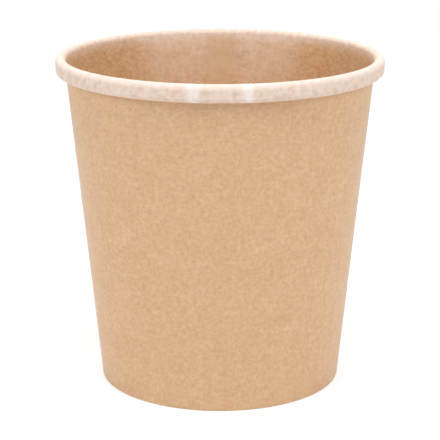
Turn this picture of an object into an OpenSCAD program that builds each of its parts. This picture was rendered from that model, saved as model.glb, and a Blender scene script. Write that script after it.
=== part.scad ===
// Paper soup cup. A fan of board is lapped into a cone, its top edge is rolled outwards into a rim,
// and its bottom edge is folded in and up round the skirt of a pressed base disc.

/* [Cup] */
// Height from the table to the top of the rolled rim
cup_h = 99.5; // [70:0.5:140]
// Outside diameter of the rolled rim
rim_d = 98; // [88:0.5:120]
// Outside diameter of the wall where it meets the table
foot_d = 73.2; // [60:0.2:80]

/* [Board] */
// Thickness of the board of the side wall
wall_t = 0.45; // [0.3:0.05:0.55]
// Thickness of the board of the base disc
base_t = 0.4; // [0.3:0.05:0.6]

/* [Rolled rim] */
// Width of the roll, from the inside of the wall to the outside of the rim
roll_w = 3.1; // [3.1:0.1:4.5]
// Height of the roll
roll_h = 5.2; // [4.6:0.1:7]
// How far the raw edge turns back up inside the roll
tuck_h = 1.2; // [0.5:0.1:1.6]
// Gap between the turned-back edge and the wall
tuck_gap = 0.1; // [0.05:0.05:0.2]

/* [Side seam] */
// Width of the lap, measured at the rim
lap_w = 8; // [5:0.5:12]
// Width over which the outer layer steps down beside the lap, measured at the rim
lap_step_w = 2.4; // [1.5:0.1:4]
// How far the sealed lap is pressed into the layer beneath it
lap_press = 0.05; // [0.02:0.01:0.1]
// Height above the table at which the lap begins, over the notched corner of the blank
lap_foot_h = 1.2; // [1:0.1:3]
// Height over which the outer layer comes away from the fold beside the lap
lap_rise = 1.5; // [1:0.1:3]

/* [Foot] */
// Height of the hem that is folded up inside the wall
hem_h = 6; // [4:0.5:6.5]
// Radius inside each corner of the fold
fold_r = 0.05; // [0.03:0.01:0.1]
// Height of the recess under the base disc
recess_h = 7.5; // [7.2:0.1:12]
// Radius of the base disc's upper corner
base_corner_r = 1; // [0.7:0.1:2]
// Gap between the skirt's lower edge and the fold
skirt_gap = 0.1; // [0.1:0.05:0.5]
// Thickness of the sealed joint on each side of the skirt
seal_t = 0.03; // [0.02:0.01:0.05]

/* [Hidden] */
$fn = 180;

KRAFT = [0.80, 0.64, 0.46];
BASE_KRAFT = [0.74, 0.57, 0.41];

// Steps in which a quarter turn of the section is drawn
fold_steps = 4;
roll_steps = 7;
corner_steps = 8;
// Slices in which the step beside the lap is drawn
lap_step_slices = 3;
// The step's ends run this far into the layers they join, this much thinner on each face
lap_step_end = 0.05;
lap_step_inset = 0.02;
// Direction of the seam's middle, which is at the back
seam_at = 90;

// The wall leans outwards: its outer face runs from the table, tangent to the inside of the roll
roll_r = roll_w / 2;
roll_top = [rim_d / 2 - roll_r, cup_h - roll_r];
foot_to_roll = roll_top - [foot_d / 2, 0];
lean = atan2(foot_to_roll[0], foot_to_roll[1]) - asin((roll_r - wall_t) / norm(foot_to_roll));

// Radius at a height of the wall's inner face, the hem's face against the skirt, and the skirt's outer face
function wall_in_r(z) = foot_d / 2 - wall_t / cos(lean) + z * tan(lean);
function hem_face_r(z) = wall_in_r(z) - (base_t + 2 * seal_t) / cos(lean);
function skirt_r(z) = wall_in_r(z) - seal_t / cos(lean);

// The lower arc of the roll ends beside the wall's outer face, clear of it by the gap
roll_in = wall_in_r(cup_h - roll_h);
roll_low_r = ((rim_d / 2 - roll_in) * cos(lean) - wall_t - tuck_gap) / (1 + cos(lean) + sin(lean));
roll_low = [rim_d / 2 - roll_low_r, cup_h - roll_h + roll_low_r];

// Angles of the lap and of the step beside it
lap_angle = lap_w / (rim_d / 2) * 180 / PI;
lap_step_angle = lap_step_w / (rim_d / 2) * 180 / PI;
lap_end_angle = lap_step_end / (rim_d / 2) * 180 / PI;

// A section is a list of stations, each a point on the lining face and the heading of the board there.
// Headings are anticlockwise from outwards, and the board lies to the right of its lining face.
function right_of(a) = [sin(a), -cos(a)];
function left_arc(c, r, from, to, n) =
    [for (i = [0:n]) let (a = from + (to - from) * i / n) [c + r * right_of(a), a]];
function right_arc(c, r, from, to, n) =
    [for (i = [0:n]) let (a = from + (to - from) * i / n) [c - r * right_of(a), a]];
function along(s, step) = [s[0] + step * [cos(s[1]), sin(s[1])], s[1]];
function depth_line(stations, depth) = [for (s = stations) s[0] + depth * right_of(s[1])];
function backwards(list) = [for (i = [len(list) - 1:-1:0]) list[i]];
function outline(stations, near, far) =
    concat(depth_line(stations, near), backwards(depth_line(stations, far)));

// Down the hem, across the foot and up to where the lap begins
fold_z = wall_t + fold_r;
fold_in = [hem_face_r(fold_z) + fold_r / cos(lean), fold_z];
fold_out = [wall_in_r(fold_z) - fold_r / cos(lean), fold_z];
hem_and_foot = concat(
    [[[hem_face_r(hem_h), hem_h], -90 - lean]],
    left_arc(fold_in, fold_r, -90 - lean, 0, fold_steps),
    left_arc(fold_out, fold_r, 0, 90 - lean, fold_steps)
);

// Up the wall, over the top of the roll and round underneath it
wall_and_roll = concat(
    [[[wall_in_r(lap_foot_h), lap_foot_h], 90 - lean]],
    right_arc(roll_top, roll_r, 90 - lean, 0, roll_steps),
    right_arc(roll_top, roll_r, -90 / roll_steps, -90, roll_steps - 1),
    right_arc(roll_low, roll_low_r, -90, -270 - lean, 2 * roll_steps)
);

// The raw edge, turned back up inside the roll
roll_end = wall_and_roll[len(wall_and_roll) - 1];
tuck = [[roll_end[0] + tuck_h * [sin(lean), cos(lean)], roll_end[1]]];

// One layer of board swept part of the way round the cup
module layer(stations, near, far, angle) {
    rotate_extrude(angle = angle) polygon(outline(stations, near, far));
}

// The short stretch where the outer layer steps down from the lap to the single wall.
// It is lifted off the layer beneath everywhere but in the hem and foot, which stay single.
module lap_step() {
    inset = lap_step_inset;
    last = len(wall_and_roll) - 1;
    fold = concat(
        [along(hem_and_foot[0], inset)],
        [for (i = [1:len(hem_and_foot) - 1]) hem_and_foot[i]],
        [wall_and_roll[0]]
    );
    stations = concat(
        fold,
        [along(wall_and_roll[0], lap_rise)],
        [for (i = [1:last - 1]) wall_and_roll[i]],
        [along(wall_and_roll[last], -inset)]
    );
    n = len(stations);
    m = lap_step_slices;
    points = [
        for (j = [0:m], side = [0, 1], i = [0:n - 1]) let (
            a = -lap_end_angle + (lap_step_angle + 2 * lap_end_angle) * j / m,
            lifted = i < len(fold) ? 0 : 1 - j / m,
            near = (wall_t - lap_press) * lifted + inset,
            far = wall_t * (1 + lifted) - inset,
            p = stations[i][0] + (side == 0 ? near : far) * right_of(stations[i][1])
        ) [p[0] * cos(a), p[0] * sin(a), p[1]]
    ];
    function at(j, side, i) = (2 * j + side) * n + i;
    // Two triangles for four corners given in order round the face, seen from inside
    function quad(a, b, c, d) = [[a, c, b], [a, d, c]];
    faces = [
        for (j = [0:m - 1], i = [0:n - 2]) each concat(
            quad(at(j, 0, i), at(j, 0, i + 1), at(j + 1, 0, i + 1), at(j + 1, 0, i)),
            quad(at(j, 1, i), at(j + 1, 1, i), at(j + 1, 1, i + 1), at(j, 1, i + 1))
        ),
        for (j = [0:m - 1]) each concat(
            quad(at(j, 0, 0), at(j + 1, 0, 0), at(j + 1, 1, 0), at(j, 1, 0)),
            quad(at(j, 0, n - 1), at(j, 1, n - 1), at(j + 1, 1, n - 1), at(j + 1, 0, n - 1))
        ),
        for (i = [0:n - 2]) each concat(
            quad(at(0, 0, i), at(0, 1, i), at(0, 1, i + 1), at(0, 0, i + 1)),
            quad(at(m, 0, i), at(m, 0, i + 1), at(m, 1, i + 1), at(m, 1, i))
        )
    ];
    polyhedron(points, faces);
}

// The whole side wall is one blank: hem, foot, wall, lap and roll
module side_wall() {
    color(KRAFT) rotate([0, 0, seam_at - lap_angle / 2]) {
        rotate([0, 0, lap_angle + lap_step_angle])
            layer(concat(hem_and_foot, wall_and_roll, tuck), 0, wall_t, 360 - lap_step_angle);
        layer(wall_and_roll, wall_t - lap_press, 2 * wall_t, lap_angle);
        rotate([0, 0, lap_angle]) lap_step();
    }
}

// The base disc: a flat panel with a rounded corner and a skirt that follows the wall down to the fold
module base_disc() {
    panel_h = recess_h + base_t;
    corner_z = panel_h - base_corner_r;
    corner = [skirt_r(corner_z) - base_corner_r / cos(lean), corner_z];
    skirt_foot = wall_t + skirt_gap;
    section = concat(
        [[[0, panel_h], 0]],
        right_arc(corner, base_corner_r, 0, -90 - lean, corner_steps),
        [[[skirt_r(skirt_foot), skirt_foot], -90 - lean]]
    );
    color(BASE_KRAFT) rotate_extrude() polygon(outline(section, 0, base_t));
}

side_wall();
base_disc();
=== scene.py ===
import math

import bmesh
import bpy
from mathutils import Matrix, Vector
from mathutils.kdtree import KDTree


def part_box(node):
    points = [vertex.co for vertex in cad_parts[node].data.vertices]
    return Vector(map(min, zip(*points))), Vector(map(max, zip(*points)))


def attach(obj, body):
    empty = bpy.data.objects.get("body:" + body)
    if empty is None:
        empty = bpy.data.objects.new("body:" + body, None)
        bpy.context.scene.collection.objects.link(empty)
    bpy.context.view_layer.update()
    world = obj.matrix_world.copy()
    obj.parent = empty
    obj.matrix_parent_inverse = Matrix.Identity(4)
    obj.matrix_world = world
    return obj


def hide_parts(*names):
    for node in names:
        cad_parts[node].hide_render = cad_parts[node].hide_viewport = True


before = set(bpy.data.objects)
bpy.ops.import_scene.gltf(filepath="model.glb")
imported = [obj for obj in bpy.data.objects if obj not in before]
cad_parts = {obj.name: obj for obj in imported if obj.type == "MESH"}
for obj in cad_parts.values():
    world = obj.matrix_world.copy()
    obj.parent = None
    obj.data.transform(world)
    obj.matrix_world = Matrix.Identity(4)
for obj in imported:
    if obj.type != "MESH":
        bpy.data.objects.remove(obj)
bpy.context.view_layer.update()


# Camera
# It stands half a metre in front of the cup and a little above the rim, and looks down on the cup from
# straight ahead. Its place, tilt and lens were fitted to the outline of the cup in the photograph.
camera_data = bpy.data.cameras.new("camera")
camera_data.lens = 136.31
camera_data.sensor_width = 36
camera = bpy.data.objects.new("camera", camera_data)
camera.location = (0, -0.4922, 0.1855)
camera.rotation_euler = (math.radians(74.401), 0, 0)
bpy.context.collection.objects.link(camera)
bpy.context.scene.camera = camera


# Side wall
# One fan of kraft board, lined on its inside face. It is wrapped into a cone with a lap at the back,
# its top edge is rolled outwards into the rim, and its foot is folded in and up as a hem.
MM = 0.001
_, wall_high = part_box("side_wall")
inside_box = 0.01 * MM
cup_h = wall_high.z
rim_r = wall_high.x - inside_box
foot_r = 36.6 * MM
board_t = 0.45 * MM
base_t = 0.4 * MM
seal_t = 0.03 * MM
fold_r = 0.05 * MM
hem_h = 6 * MM
roll_r = 1.55 * MM
roll_h = 5.2 * MM
tuck_h = 1.2 * MM
tuck_gap = 0.1 * MM
lap_foot_h = 1.2 * MM
lap_turn = 8 * MM / rim_r
lap_step_turn = 0.8 * MM / rim_r
lap_thin_turn = 1.5 * MM / rim_r
thin_clear_turn = 0.7 * MM / rim_r
edge_share = 0.15
lap_slit_turn = 0.05 * MM / rim_r
lap_gap = 0.01 * MM
seam_at = math.radians(90)

# The lean of the wall, whose outer face runs from the foot to the inside of the roll
roll_top = Vector((rim_r - roll_r, 0, cup_h - roll_r))
foot_to_roll = roll_top - Vector((foot_r, 0, 0))
lean = math.atan2(foot_to_roll.x, foot_to_roll.z) - math.asin((roll_r - board_t) / foot_to_roll.length)
up_wall = Vector((math.sin(lean), 0, math.cos(lean)))
off_wall = Vector((math.cos(lean), 0, -math.sin(lean)))


def wall_in_r(z):
    """Radius of the wall's lined face at a height."""
    return foot_r - board_t / math.cos(lean) + z * math.tan(lean)


def hem_face_r(z):
    """Radius of the hem's lined face, which lies against the base disc's skirt."""
    return wall_in_r(z) - (base_t + 2 * seal_t) / math.cos(lean)


def start_line(name, x, z):
    """A new mesh, left in edit mode, that is one point at that radius and height."""
    bpy.ops.object.select_all(action="DESELECT")
    bpy.ops.mesh.primitive_plane_add(size=MM, location=(0, 0, 0))
    thing = bpy.context.object
    thing.name = thing.data.name = name
    bpy.ops.object.mode_set(mode="EDIT")
    bpy.ops.mesh.select_all(action="SELECT")
    bpy.ops.mesh.merge(type="CENTER")
    bpy.ops.transform.translate(value=(x, 0, z))
    return thing


def line_end(thing):
    """The point that the line has reached, which is the one selected."""
    return next(v.co.copy() for v in bmesh.from_edit_mesh(thing.data).verts if v.select)


def draw_to(thing, x, z, parts=1):
    """Draws the line straight on to that radius and height, in equal parts."""
    step = (Vector((x, 0, z)) - line_end(thing)) / parts
    for _ in range(parts):
        bpy.ops.mesh.extrude_region_move(TRANSFORM_OT_translate={"value": step})


def turn_round(centre, turn, steps):
    """Carries the line on round a centre: anticlockwise, as seen from the front, where turn is positive."""
    bpy.ops.mesh.spin(steps=steps, angle=turn, center=centre, axis=(0, 1, 0))


def sweep(turn, steps):
    """Sweeps what is selected round the cup's axis, anticlockwise from above."""
    bpy.ops.mesh.spin(steps=steps, angle=turn, center=(0, 0, 0), axis=(0, 0, -1))


def line_points(thing):
    """The line's points from its first to its last, each with its length along the line."""
    mesh = thing.data
    joined = {v.index: [] for v in mesh.vertices}
    for edge in mesh.edges:
        a, b = edge.vertices
        joined[a].append(b)
        joined[b].append(a)
    found = [(0, 0.0)]
    seen = {0}
    while True:
        index, length = found[-1]
        onward = [i for i in joined[index] if i not in seen]
        if not onward:
            break
        seen.add(onward[0])
        step = (mesh.vertices[onward[0]].co - mesh.vertices[index].co).length
        found.append((onward[0], length + step))
    return [(mesh.vertices[i].co.copy(), length) for i, length in found]


def apply_modifier(thing, kind, **settings):
    """Adds a modifier of that kind, gives it its settings and applies it."""
    modifier = thing.modifiers.new(kind.title(), kind)
    for key, value in settings.items():
        setattr(modifier, key, value)
    bpy.ops.object.modifier_apply(modifier=modifier.name)


# The section of the board's lined face: down the hem, round the fold, up the wall, over the roll and back
# up inside it
hem_parts = 6
fold_steps = 5
wall_parts = 16
roll_top_steps = 14
roll_low_steps = 12
fold_z = board_t + fold_r
fold_in = Vector((hem_face_r(fold_z) + fold_r / math.cos(lean), 0, fold_z))
fold_out = Vector((wall_in_r(fold_z) - fold_r / math.cos(lean), 0, fold_z))
roll_low_r = (
    (rim_r - wall_in_r(cup_h - roll_h)) * math.cos(lean) - board_t - tuck_gap
) / (1 + math.cos(lean) + math.sin(lean))
roll_low = Vector((rim_r - roll_low_r, 0, cup_h - roll_h + roll_low_r))
roll_start = roll_top - roll_r * off_wall

wall = start_line("side_wall_board", hem_face_r(hem_h), hem_h)
hem_end = fold_in - fold_r * off_wall
draw_to(wall, hem_end.x, hem_end.z, parts=hem_parts)
turn_round(fold_in, math.pi / 2 + lean, fold_steps)
draw_to(wall, fold_out.x, fold_out.z - fold_r)
turn_round(fold_out, math.pi / 2 - lean, fold_steps)
draw_to(wall, wall_in_r(lap_foot_h), lap_foot_h)
draw_to(wall, roll_start.x, roll_start.z, parts=wall_parts)
turn_round(roll_top, lean - math.pi, roll_top_steps)
draw_to(wall, roll_low.x + roll_low_r, roll_low.z)
turn_round(roll_low, -lean - math.pi, roll_low_steps)
tuck_end = line_end(wall) + tuck_h * up_wall
draw_to(wall, tuck_end.x, tuck_end.z)
bpy.ops.object.mode_set(mode="OBJECT")
section = line_points(wall)

# The sweep: the lap's outer layer, the step beside it, and once round to the end of the inner layer
knurls = 120
columns_a_knurl = 4
lap_columns = 16
lap_step_columns = 4
inner_turn = 2 * math.pi - lap_step_turn - lap_slit_turn
bpy.ops.object.mode_set(mode="EDIT")
bpy.ops.mesh.select_all(action="SELECT")
sweep(lap_turn, lap_columns)
bpy.ops.object.mode_set(mode="OBJECT")
outer_layer_points = len(wall.data.vertices)
bpy.ops.object.mode_set(mode="EDIT")
sweep(lap_step_turn, lap_step_columns)
sweep(inner_turn, knurls * columns_a_knurl)
bpy.ops.object.mode_set(mode="OBJECT")


def fill_group(thing, name, weight_of):
    """A vertex group whose weights come from a rule, read for each point's number."""
    group = thing.vertex_groups.new(name=name)
    for index in range(len(thing.data.vertices)):
        weight = weight_of(index)
        if weight > 0:
            group.add([index], weight, "REPLACE")


# Each point's place on the flat blank: its turn from the outer layer's edge, and its length up the board
nearest = KDTree(len(section))
for order, (point, _) in enumerate(section):
    nearest.insert(point, order)
nearest.balance()
turn_at = []
length_at = []
for vertex in wall.data.vertices:
    x, y, z = vertex.co
    _, order, _ = nearest.find((math.hypot(x, y), 0, z))
    turn = math.atan2(y, x) % (2 * math.pi)
    if turn > 2 * math.pi - lap_slit_turn / 2:
        turn = 0
    if vertex.index >= outer_layer_points and turn < lap_turn + lap_slit_turn / 2:
        turn += 2 * math.pi
    turn_at.append(turn)
    length_at.append(section[order][1])


def length_to(x, z):
    """Length up the board at the point of its section nearest to that radius and height."""
    return section[nearest.find((x, 0, z))[1]][1]


hem_length = length_to(hem_end.x, hem_end.z)
lap_foot_length = length_to(wall_in_r(lap_foot_h), lap_foot_h)
roll_start_length = length_to(roll_start.x, roll_start.z)
roll_side_length = length_to(roll_low.x + roll_low_r, roll_low.z)
roll_end_length = length_to(*(tuck_end - tuck_h * up_wall).xz)
mean_r = 42.5 * MM

blank = wall.data.uv_layers.new(name="blank")
for loop in wall.data.loops:
    blank.data[loop.index].uv = (turn_at[loop.vertex_index] * mean_r, length_at[loop.vertex_index])

# The inner layer is thinned on its outside towards its raw edge, where the lap is sealed. The outer layer
# is lifted by what is left of it, and comes down over the step beside it.
slack = MM / 100


def layer_share(turn, thinned_from):
    """Share of the board's thickness that the inner layer keeps at a turn from the outer layer's edge."""
    along = (turn - thinned_from) / (lap_turn - thinned_from)
    return 1 - (1 - edge_share) * max(0, min(1, along))


def lap_weight(index):
    """How far the board is lifted at a point, over the lap and down the step, as a share of its most."""
    if length_at[index] < lap_foot_length - slack:
        return 0
    lifted = board_t * layer_share(turn_at[index], lap_turn - lap_thin_turn) + lap_gap
    down = max(0, min(1, 1 - (turn_at[index] - lap_turn) / lap_step_turn))
    return lifted * down / (board_t + lap_gap)


def thinned_weight(index):
    """How much of its thickness the board has lost at a point of the inner layer."""
    if turn_at[index] < 2 * math.pi or length_at[index] < lap_foot_length - slack:
        return 0
    return 1 - layer_share(turn_at[index] - 2 * math.pi, lap_turn - lap_thin_turn - thin_clear_turn)


# The hem is knurled where a wheel pressed it to the skirt: each knurl's ridge stands in towards the axis
knurl_depth = 0.14 * MM
knurl_foot_length = hem_length - 0.4 * MM
knurl_top_length = 0.9 * MM
knurl_turn = inner_turn / knurls


def knurl_weight(index):
    """How far the hem stands in at a point, as a share of a ridge's height."""
    if not knurl_top_length < length_at[index] < knurl_foot_length:
        return 0
    if turn_at[index] < lap_turn + lap_step_turn:
        return 0
    along = (turn_at[index] - lap_turn - lap_step_turn) / knurl_turn
    return 0.5 - 0.5 * math.cos(2 * math.pi * along)


fill_group(wall, "lap", lap_weight)
fill_group(wall, "knurls", knurl_weight)
fill_group(wall, "thinned", thinned_weight)

# The lined face looks at the cup's axis, so the board's thickness goes on behind it
sample = min(wall.data.polygons, key=lambda f: abs(f.center.z - cup_h / 2))
if sample.normal.dot(Vector((sample.center.x, sample.center.y, 0))) > 0:
    wall.data.flip_normals()
apply_modifier(wall, "DISPLACE", vertex_group="lap", strength=-board_t - lap_gap, mid_level=0)
apply_modifier(wall, "DISPLACE", vertex_group="knurls", strength=-knurl_depth, mid_level=0)

# The outer layer's foot is notched away, and the inner layer's raw edge is cut short inside the roll
chart_name = blank.name
trim_share = 0.6
trim_length = roll_side_length + (roll_end_length - roll_side_length) * trim_share


def cut_away(face, chart):
    """Whether a face lies in the notch or past the cut, by the middle of its place on the flat blank."""
    corners = [loop[chart].uv for loop in face.loops]
    turn = sum(c.x for c in corners) / len(corners) / mean_r
    length = sum(c.y for c in corners) / len(corners)
    if turn < lap_turn:
        return length < lap_foot_length
    return turn > 2 * math.pi and length > trim_length


bpy.ops.object.mode_set(mode="EDIT")
bpy.ops.mesh.select_all(action="DESELECT")
sheet = bmesh.from_edit_mesh(wall.data)
for face in sheet.faces:
    face.select = cut_away(face, sheet.loops.layers.uv[chart_name])
bmesh.update_edit_mesh(wall.data)
bpy.ops.mesh.delete(type="FACE")
bpy.ops.object.mode_set(mode="OBJECT")


# Kraft board is drawn on the blank, in millimetres along and across it
def srgb(red, green, blue):
    """A colour as it looks on a screen, from 0 to 255, as the linear values that a shader takes."""
    return tuple(((c / 255 + 0.055) / 1.055) ** 2.4 for c in (red, green, blue)) + (1,)


def new_finish(name):
    """A new material with its shader and output alone."""
    finish = bpy.data.materials.new(name)
    finish.use_nodes = True
    return finish


def add(finish, kind, links=(), **values):
    """Adds a node to a finish. Links join its inputs, and values set an input or a setting of that name."""
    node = finish.node_tree.nodes.new(kind)
    for key, value in values.items():
        sockets = [s for s in node.inputs if s.name.replace(" ", "_").lower() == key and s.enabled]
        if sockets:
            sockets[0].default_value = value
        else:
            setattr(node, key, value)
    for socket, source in dict(links).items():
        finish.node_tree.links.new(source, node.inputs[socket])
    return node


def noise(finish, place, size, detail=2.0, rough=0.5, stretch=(1, 1, 1), turn=0.0):
    """Soft noise whose blobs are about that many millimetres across; gives its value from 0 to 1."""
    place = add(
        finish, "ShaderNodeMapping", {"Vector": place},
        rotation=(0, 0, turn), scale=tuple(1 / (size * s) for s in stretch),
    ).outputs[0]
    return add(
        finish, "ShaderNodeTexNoise", {"Vector": place}, scale=1.0, detail=detail, roughness=rough,
    ).outputs[0]


def between(finish, value, low, high, out_low=0.0, out_high=1.0, smooth=False):
    """Carries a value's stretch from low to high over to another stretch, held at its ends."""
    node = add(
        finish, "ShaderNodeMapRange", {"Value": value},
        interpolation_type="SMOOTHSTEP" if smooth else "LINEAR",
    )
    for name, number in zip(("From Min", "From Max", "To Min", "To Max"), (low, high, out_low, out_high)):
        node.inputs[name].default_value = number
    return node.outputs[0]


def calc(finish, operation, *terms):
    """One sum, of values and plain numbers."""
    node = finish.node_tree.nodes.new("ShaderNodeMath")
    node.operation = operation
    for socket, term in zip(node.inputs, terms):
        if isinstance(term, (int, float)):
            socket.default_value = term
        else:
            finish.node_tree.links.new(term, socket)
    return node.outputs[0]


def blend(finish, share, first, second, mode="MIX"):
    """Mixes two colours by a share; each of the three is a plain value or another node's output."""
    node = finish.node_tree.nodes.new("ShaderNodeMix")
    node.data_type = "RGBA"
    node.blend_type = mode
    colours = [s for s in node.inputs if s.type == "RGBA"]
    for socket, term in zip([node.inputs[0]] + colours, (share, first, second)):
        if isinstance(term, (int, float, tuple)):
            socket.default_value = term
        else:
            finish.node_tree.links.new(term, socket)
    return next(s for s in node.outputs if s.type == "RGBA")


def blank_place(finish):
    """Where a point lies on the flat blank, in millimetres."""
    chart = add(finish, "ShaderNodeUVMap", uv_map="blank").outputs[0]
    return add(finish, "ShaderNodeMapping", {"Vector": chart}, scale=(1 / MM, 1 / MM, 1)).outputs[0]


def kraft_shade(finish, place, contrast):
    """How light the fibres are from spot to spot, about 1, with clouds, flecks and single dark fibres."""
    # Each cloud's width in millimetres, and how far it goes darker and lighter
    clouds = ((9, 0.035, 0.03), (3.2, 0.045, 0.04), (1.3, 0.085, 0.08), (0.5, 0.075, 0.07))
    # Each set of fibres' slant, its size in millimetres and its strength
    dark_fibres = ((0.35, 0.5, 0.09), (-0.6, 0.42, 0.07), (1.3, 0.46, 0.08))
    pale_strength = 0.07
    speck_strength = 0.16
    shade = 1.0
    for size, darker, lighter in clouds:
        cloud = between(finish, noise(finish, place, size, 3, 0.6), 0.3, 0.7,
                        1 - darker * contrast, 1 + lighter * contrast)
        shade = calc(finish, "MULTIPLY", shade, cloud)
    for slant, size, strength in dark_fibres:
        fibres = noise(finish, place, size, 1, 0.5, stretch=(6, 0.55, 1), turn=slant)
        fibres = between(finish, fibres, 0.66, 0.8, 1, 1 - strength * contrast)
        shade = calc(finish, "MULTIPLY", shade, fibres)
    pale = noise(finish, place, 0.5, 1, 0.5, stretch=(7, 0.5, 1), turn=2.2)
    pale = between(finish, pale, 0.66, 0.8, 1, 1 + pale_strength * contrast)
    shade = calc(finish, "MULTIPLY", shade, pale)
    specks = add(finish, "ShaderNodeTexVoronoi", {"Vector": place}, scale=0.8, randomness=1.0)
    spot = between(finish, specks.outputs["Distance"], 0.1, 0.2, 1, 0, smooth=True)
    chance = add(finish, "ShaderNodeSeparateColor", {"Color": specks.outputs["Color"]}).outputs[0]
    spot = calc(finish, "MULTIPLY", spot, between(finish, chance, 0.7, 0.72))
    spot = calc(finish, "MULTIPLY", spot, speck_strength * contrast)
    return calc(finish, "MULTIPLY", shade, calc(finish, "SUBTRACT", 1, spot))


def tint(finish, colour, shade):
    """A colour made lighter or darker by a shade: light flecks look paler, and dark ones look richer."""
    red_green_blue_powers = (0.62, 1.16, 1.47)
    parts = [calc(finish, "POWER", shade, power) for power in red_green_blue_powers]
    grey = add(finish, "ShaderNodeCombineColor", dict(zip(("Red", "Green", "Blue"), parts))).outputs[0]
    return blend(finish, 1.0, colour, grey, "MULTIPLY")


def board_relief(finish, place):
    """The fine tooth of uncoated board, with its broader cockle."""
    tooth = noise(finish, place, 0.35, 3, 0.65)
    fibres = noise(finish, place, 0.5, 2, 0.6, stretch=(4, 0.6, 1), turn=0.5)
    return calc(finish, "ADD", calc(finish, "MULTIPLY", tooth, 0.6), calc(finish, "MULTIPLY", fibres, 0.4))


def surface(finish, colour, bump, depth, **settings):
    """Joins colour and bump to the shader and sets its plain sockets. Depth is in millimetres."""
    shader = finish.node_tree.nodes["Principled BSDF"]
    finish.node_tree.links.new(colour, shader.inputs["Base Color"])
    relief = add(finish, "ShaderNodeBump", {"Height": bump}, strength=1.0, distance=depth * MM)
    finish.node_tree.links.new(relief.outputs[0], shader.inputs["Normal"])
    for name, value in settings.items():
        socket = "Specular IOR Level" if name == "specular" else name.replace("_", " ").title()
        shader.inputs[socket].default_value = value
    return finish


def plain_board(name, place_on, colour, contrast, depth, gloss):
    """Board of one colour, with its fibres and its tooth drawn where a rule places them."""
    finish = new_finish(name)
    place = place_on(finish)
    return surface(finish, tint(finish, colour, kraft_shade(finish, place, contrast)),
                   board_relief(finish, place), depth, **gloss)


# How strongly the fibres show, how deep the tooth is in millimetres, and the gloss of each kind of face
kraft_contrast = 1.3
kraft_tooth = 0.03
kraft_gloss = dict(roughness=0.62, specular=0.6, sheen_weight=0.5, sheen_roughness=0.3)
lined_contrast = 1.9
lined_tooth = 0.012
lined_gloss = dict(roughness=0.55, specular=0.2)
cut_contrast = 1.4
cut_tooth = 0.05
cut_gloss = dict(roughness=0.9, specular=0.2)
lined_kraft = srgb(214, 174, 132)
cut_kraft = srgb(224, 194, 160)

kraft = new_finish("kraft_board_outside")
place = blank_place(kraft)
kraft_tone = blend(kraft, between(kraft, noise(kraft, place, 2.3, 2, turn=1.0), 0.35, 0.65),
                   srgb(220, 181, 140), srgb(222, 180, 137))
surface(kraft, tint(kraft, kraft_tone, kraft_shade(kraft, place, kraft_contrast)),
        board_relief(kraft, place), kraft_tooth, **kraft_gloss)

# The lining is a thin film over kraft board, which is smoother and plainer over the lap
lining = new_finish("lined_kraft_inside")
place = blank_place(lining)
axes = add(lining, "ShaderNodeSeparateXYZ", {"Vector": place})
round_mm, up_mm = axes.outputs[0], axes.outputs[1]
half_round_mm = math.pi * mean_r / MM
lap_middle_mm = lap_turn * mean_r / MM / 2
from_seam = calc(lining, "ADD", round_mm, half_round_mm)
from_seam = calc(lining, "MODULO", from_seam, 2 * half_round_mm)
from_seam = calc(lining, "SUBTRACT", from_seam, half_round_mm + lap_middle_mm)
from_seam = calc(lining, "ABSOLUTE", from_seam)
mottle = calc(lining, "SUBTRACT", kraft_shade(lining, place, lined_contrast), 1)
mottle = calc(lining, "MULTIPLY", mottle, between(lining, from_seam, 3.0, 4.2, 0.4, 1, smooth=True))
lined_colour = tint(lining, lined_kraft, calc(lining, "ADD", mottle, 1))

# Over the roll the film is stretched, and the board under it goes pale from a ragged edge on
roll_start_mm = roll_start_length / MM
whiten_from = roll_start_mm - 1.6
whiten_to = roll_start_mm + 0.4
ragged = between(lining, noise(lining, place, 2.5, 3), 0.25, 0.75, -0.7, 0.7)
round_the_sides = between(lining, from_seam, 20, 44, 0, -0.7, smooth=True)
edge_mm = calc(lining, "ADD", calc(lining, "ADD", up_mm, ragged), round_the_sides)
whitening = between(lining, edge_mm, whiten_from, whiten_to, smooth=True)
streaks = noise(lining, place, 2.2, 3, 0.6, stretch=(0.9, 3, 1))
blots = noise(lining, place, 3.2, 3, 0.6)
pale_colour = blend(lining, between(lining, noise(lining, place, 1.6, 3, 0.6), 0.35, 0.65),
                    srgb(224, 196, 174), srgb(240, 218, 202))
pale_colour = blend(lining, between(lining, streaks, 0.4, 0.75, 0, 0.45), pale_colour, srgb(245, 230, 220))

# The crest of the roll is painted whiter: the film is stretched the most there, and a painted highlight lies
# along it
crest_mm = roll_start_mm + roll_r * (math.pi / 2 - lean) / MM
crest_stretch_and_highlight = calc(
    lining, "MULTIPLY", between(lining, up_mm, crest_mm - 0.6, crest_mm + 1.0, smooth=True),
    between(lining, up_mm, crest_mm + 1.2, crest_mm + 3.0, 0.45, 0, smooth=True))
pale_colour = blend(lining, crest_stretch_and_highlight, pale_colour, srgb(244, 232, 226))

# Two pale marks run over the roll, one on each side of the front
front_mm = (1.5 * math.pi - seam_at + lap_turn / 2) * mean_r / MM
mark_off_mm = 7.6 * mean_r / rim_r
mark_core_mm = 0.3
mark_edge_mm = 2.3
marks = 0
for side in (-1, 1):
    from_mark = calc(lining, "SUBTRACT", round_mm, front_mm + side * mark_off_mm)
    from_mark = calc(lining, "ABSOLUTE", from_mark)
    mark = between(lining, from_mark, mark_core_mm, mark_edge_mm, 1, 0, smooth=True)
    marks = calc(lining, "MAXIMUM", mark, marks)
marks = calc(lining, "MULTIPLY", marks, between(lining, blots, 0.3, 0.6, 0.3, 0.9))
pale_colour = blend(lining, marks, pale_colour, srgb(251, 243, 239))
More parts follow.
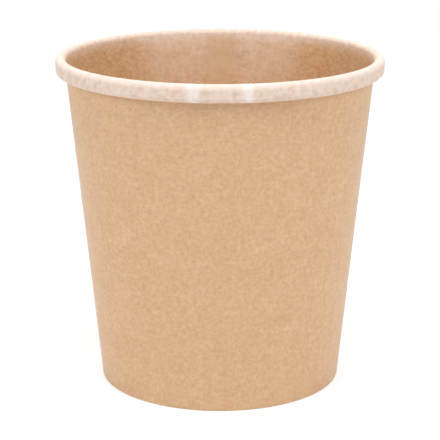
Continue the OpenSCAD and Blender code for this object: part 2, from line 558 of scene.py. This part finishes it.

# Below the roll the lining is painted paler. Faintly a long way down near the seam, this is a painted sheen;
# all round in its last few millimetres, it is partly bleached lining and partly painted light from above.
# The lap itself gets less of both.
far_from = roll_start_mm - 26
far_to = roll_start_mm - 5
close_from = roll_start_mm - 3.6
close_to = roll_start_mm + 0.6
off_the_lap = between(lining, from_seam, 3.0, 6.5, 0.6, 1, smooth=True)
near_seam = between(lining, from_seam, 17, 30, 1, 0, smooth=True)
# Painted sheen a long way down, which is kept near the seam below
painted_sheen_far_down = calc(
    lining, "MULTIPLY", between(lining, up_mm, far_from, far_to, smooth=True),
    between(lining, blots, 0.25, 0.7, 0.24, 0.56))
# Partly bleached lining and partly painted light from above, in the last few millimetres below the roll
bleach_and_painted_light_near_roll = calc(
    lining, "MULTIPLY", between(lining, up_mm, close_from, close_to, smooth=True),
    between(lining, blots, 0.25, 0.7, 0.35, 0.7))
painted_sheen_and_bleach = calc(lining, "ADD", calc(lining, "MULTIPLY", near_seam, painted_sheen_far_down), bleach_and_painted_light_near_roll)
painted_sheen_and_bleach = calc(lining, "MULTIPLY", painted_sheen_and_bleach, off_the_lap)
lined_colour = blend(lining, painted_sheen_and_bleach, lined_colour, srgb(240, 220, 203))
surface(lining, blend(lining, whitening, lined_colour, pale_colour),
        board_relief(lining, place), lined_tooth, **lined_gloss)

# The raw edge of the board is cut paper: paler than its faces, and rough
raw_edge = plain_board("kraft_board_cut_edge", blank_place, cut_kraft, cut_contrast, cut_tooth, cut_gloss)

# The board's thickness goes on behind its lined face, and the seam is turned to the back
crease = math.radians(40)
for finish in (lining, kraft, raw_edge):
    wall.data.materials.append(finish)
apply_modifier(wall, "SOLIDIFY", thickness=board_t, offset=-1, material_offset=1, material_offset_rim=2,
               vertex_group="thinned", invert_vertex_group=True, thickness_vertex_group=0)
wall.vertex_groups.clear()
wall.rotation_euler.z = seam_at - lap_turn / 2
bpy.ops.object.transform_apply(location=True, rotation=True, scale=True)
bpy.ops.object.shade_smooth_by_angle(angle=crease)
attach(wall, "root")
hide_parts("side_wall")


# Base disc
# A round of the same board, lined above, pressed into a shallow pan: a flat panel with a rounded corner
# and a skirt, which is sealed into the fold at the foot of the wall. It sits well clear of the table.
disc_low, disc_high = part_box("base_disc")
panel_h = disc_high.z
corner_r = 1 * MM
skirt_foot = disc_low.z
panel_dip = 0.35 * MM
panel_parts = 12
corner_steps = 6
skirt_parts = 5
disc_columns = 240
same_point = MM / 1000


def skirt_r(z):
    """Radius of the skirt's lined face, which is sealed to the wall."""
    return wall_in_r(z) - seal_t / math.cos(lean)


corner_z = panel_h - corner_r
corner = Vector((skirt_r(corner_z) - corner_r / math.cos(lean), 0, corner_z))
disc = start_line("base_disc_board", 0, panel_h)
draw_to(disc, corner.x, panel_h, parts=panel_parts)
turn_round(corner, -math.pi / 2 - lean, corner_steps)
draw_to(disc, skirt_r(skirt_foot), skirt_foot, parts=skirt_parts)
bpy.ops.mesh.select_all(action="SELECT")
sweep(2 * math.pi, disc_columns)
bpy.ops.mesh.select_all(action="SELECT")
bpy.ops.mesh.remove_doubles(threshold=same_point)
bpy.ops.mesh.normals_make_consistent(inside=False)
bpy.ops.object.mode_set(mode="OBJECT")
if max(disc.data.polygons, key=lambda f: f.center.z).normal.z < 0:
    disc.data.flip_normals()


# The panel dips a little in the middle, where it was pressed
def dip_weight(index):
    """How far the panel dips at a point, as a share of its dip in the middle."""
    x, y, z = disc.data.vertices[index].co
    out = math.hypot(x, y) / corner.x
    return math.cos(out * math.pi / 2) ** 2 if out < 1 and z > corner_z else 0


fill_group(disc, "dip", dip_weight)
apply_modifier(disc, "DISPLACE", vertex_group="dip", strength=-panel_dip, mid_level=0, direction="Z")
disc.vertex_groups.clear()


def flat_place(finish):
    """Where a point lies on the disc seen from above, in millimetres."""
    chart = add(finish, "ShaderNodeTexCoord").outputs["Object"]
    return add(finish, "ShaderNodeMapping", {"Vector": chart}, scale=(1 / MM,) * 3).outputs[0]


disc.data.materials.append(plain_board(
    "lined_base_board", flat_place, lined_kraft, lined_contrast, lined_tooth, lined_gloss))
disc.data.materials.append(plain_board(
    "kraft_base_board", flat_place, srgb(221, 181, 142), kraft_contrast, kraft_tooth, kraft_gloss))
disc.data.materials.append(plain_board(
    "base_board_cut_edge", flat_place, cut_kraft, cut_contrast, cut_tooth, cut_gloss))
apply_modifier(disc, "SOLIDIFY", thickness=base_t, offset=-1, material_offset=1, material_offset_rim=2)
bpy.ops.object.shade_smooth_by_angle(angle=crease)
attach(disc, "root")
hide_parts("base_disc")


# Floor
# A plain white table top. The camera sees it as white with the cup's soft shadow, and it lights the cup as
# white. Away from the cup it is evenly white.
floor_size = 8
floor_drop = 0.02 * MM
shadow_ends = 0.3
all_white_from = 0.8
bpy.ops.object.select_all(action="DESELECT")
bpy.ops.mesh.primitive_plane_add(size=floor_size, location=(0, 0, -floor_drop))
floor = bpy.context.object
floor.name = "floor"
bpy.ops.object.transform_apply(location=True, rotation=True, scale=True)


def grey(value):
    """A grey, as the linear values that a shader takes."""
    return (value, value, value, 1)


def where_seen(finish):
    """1 where a thing is seen, also in gloss and through glass, and 0 where it only lights other things."""
    ray = add(finish, "ShaderNodeLightPath")
    seen = calc(finish, "MAXIMUM", ray.outputs["Is Camera Ray"], ray.outputs["Is Glossy Ray"])
    return calc(finish, "MAXIMUM", seen, ray.outputs["Is Transmission Ray"])


def shader_mix(finish, share, first, second):
    """Mixes two shaders by a share."""
    return add(finish, "ShaderNodeMixShader", {0: share, 1: first.outputs[0], 2: second.outputs[0]})


floor_white = new_finish("floor_white")
floor_white.node_tree.nodes.clear()
lit = add(floor_white, "ShaderNodeBsdfDiffuse", color=grey(0.85))
shadowed = add(floor_white, "ShaderNodeBsdfDiffuse", color=grey(0.45))
glow = add(floor_white, "ShaderNodeEmission", strength=0.62)
near_cup = add(floor_white, "ShaderNodeAddShader", {0: shadowed.outputs[0], 1: glow.outputs[0]})
all_white = add(floor_white, "ShaderNodeEmission", strength=1.0)
floor_place = add(floor_white, "ShaderNodeTexCoord").outputs["Object"]
out_from_cup = add(floor_white, "ShaderNodeVectorMath", {0: floor_place}, operation="LENGTH").outputs["Value"]
far_off = between(floor_white, out_from_cup, shadow_ends, all_white_from, smooth=True)
table_top = shader_mix(floor_white, far_off, near_cup, all_white)
table_top = shader_mix(floor_white, where_seen(floor_white), lit, table_top)
add(floor_white, "ShaderNodeOutputMaterial", {"Surface": table_top.outputs[0]})
floor.data.materials.append(floor_white)


# Light
# Six broad soft lamps, all white: one above in front, one behind, one at each side and one at each front
# corner. The camera and the gloss see a white room behind them, which lights the cup only faintly.
world = bpy.data.worlds.new("white_room")
bpy.context.scene.world = world
world.use_nodes = True
world.node_tree.nodes.clear()
room_light = add(world, "ShaderNodeBackground", color=grey(1), strength=0.02)
room_seen = add(world, "ShaderNodeBackground", color=grey(1), strength=1.0)
room = shader_mix(world, where_seen(world), room_light, room_seen)
add(world, "ShaderNodeOutputWorld", {"Surface": room.outputs[0]})


def soft_lamp(name, place, size, watts):
    """A square white lamp that faces the cup's middle."""
    data = bpy.data.lights.new(name, "AREA")
    data.shape = "SQUARE"
    data.size = size
    data.energy = watts
    lamp = bpy.data.objects.new(name, data)
    lamp.location = place
    lamp.rotation_euler = (Vector((0, 0, cup_h / 2)) - Vector(place)).to_track_quat("-Z", "Y").to_euler()
    bpy.context.collection.objects.link(lamp)


soft_lamp("overhead_lamp", (0, -0.35, 1.2), 0.6, 9)
soft_lamp("back_lamp", (0, 0.8, 1.0), 0.8, 7)
soft_lamp("left_lamp", (-1.0, -0.05, 0.28), 0.8, 2.4)
soft_lamp("right_lamp", (1.0, -0.05, 0.28), 0.8, 2.4)
soft_lamp("front_left_lamp", (-0.8, -0.8, 0.9), 0.6, 5.3)
soft_lamp("front_right_lamp", (0.8, -0.8, 0.9), 0.6, 5.3)

view = bpy.context.scene.view_settings
view.view_transform = "Standard"
